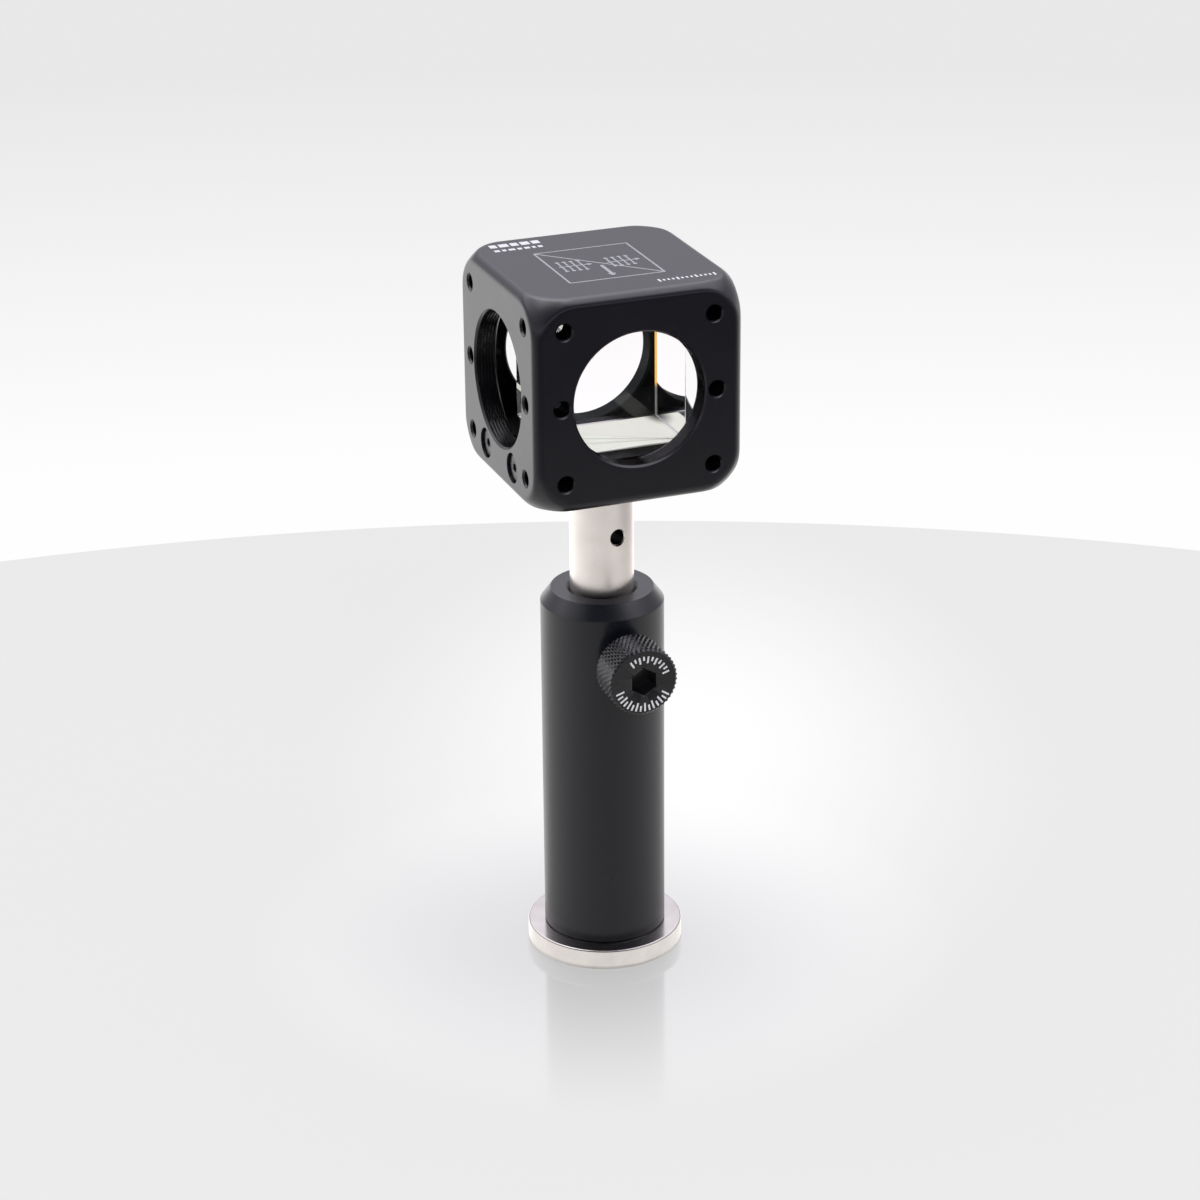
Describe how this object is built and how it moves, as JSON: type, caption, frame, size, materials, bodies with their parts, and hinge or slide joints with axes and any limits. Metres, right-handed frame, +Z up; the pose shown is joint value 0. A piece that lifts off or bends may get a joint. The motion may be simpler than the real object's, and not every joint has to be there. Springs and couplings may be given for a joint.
{
  "type": "polarizing beamsplitter cube",
  "caption": "Polarizing beamsplitter glass cube in a black cage housing with round threaded ports, on a steel post in a holder with a thumbscrew and a round pedestal.",
  "frame": {"origin": "centre of the pedestal's lower face, on the surface that the part stands on", "axes": "+Z up along the post; the cube's faces lie square to X and Y, the thumbscrew points along -Y and the front port faces -Y"},
  "size_m": [0.042, 0.0435, 0.1446],
  "materials": {
    "stainless": "turned stainless steel, satin",
    "steel_screw": "plain steel thread",
    "holder_anodised": "black anodised aluminium, satin",
    "knob_black": "black oxide steel, knurled",
    "pin_plastic": "off-white acetal",
    "spring_wire": "spring wire",
    "cube_anodised": "black anodised aluminium, bead blasted",
    "plate_anodised": "black anodised aluminium",
    "screw_black": "black oxide steel",
    "prism_glass": "polished optical glass",
    "film": "thin-film polarizing coating",
    "adhesive": "whitish optical adhesive"
  },
  "bodies": {
    "stand": {"pedestal_base": "stainless", "pedestal_screw": "steel_screw", "post_holder": "holder_anodised"},
    "lock_shank": {"thumbscrew_shank": "steel_screw", "plunger_spring": "spring_wire"},
    "lock_knob": {"thumbscrew_knob": "knob_black"},
    "plunger": {"plunger_pin": "pin_plastic"},
    "post": {"optical_post": "stainless"},
    "head": {"cube_housing": "cube_anodised", "carrier_plate": "plate_anodised", "side_screw_left_front": "screw_black", "side_screw_left_back": "screw_black", "side_screw_right_front": "screw_black", "side_screw_right_back": "screw_black", "front_prism": "prism_glass", "polarizing_film": "film", "back_prism": "prism_glass", "adhesive_pad": "adhesive", "post_stud": "steel_screw"}
  },
  "joints": [
    {"name": "post_slide", "type": "slide", "parent": "stand", "child": "post", "axis": [0, 0, 1], "range_m": [-0.015, 0.03]},
    {"name": "head_turn", "type": "hinge", "parent": "post", "child": "head", "pos_m": [0, 0, 0.10265], "axis": [0, 0, 1], "continuous": true},
    {"name": "lock_travel", "type": "slide", "parent": "stand", "child": "lock_shank", "axis": [0, -1, 0], "range_m": [0, 0.003]},
    {"name": "lock_turn", "type": "hinge", "parent": "lock_shank", "child": "lock_knob", "pos_m": [0, 0, 0.0662], "axis": [0, -1, 0], "range_deg": [0, 1085]},
    {"name": "plunger_press", "type": "slide", "parent": "lock_shank", "child": "plunger", "axis": [0, -1, 0], "range_m": [0, 0.00115], "stiffness_N_per_m": 1500, "springref_m": -0.0004, "deforming": ["plunger_spring"]}
  ],
  "couplings": [
    {"joint": "lock_turn", "follows": "lock_travel", "rad_per_m": 6283.2}
  ]
}
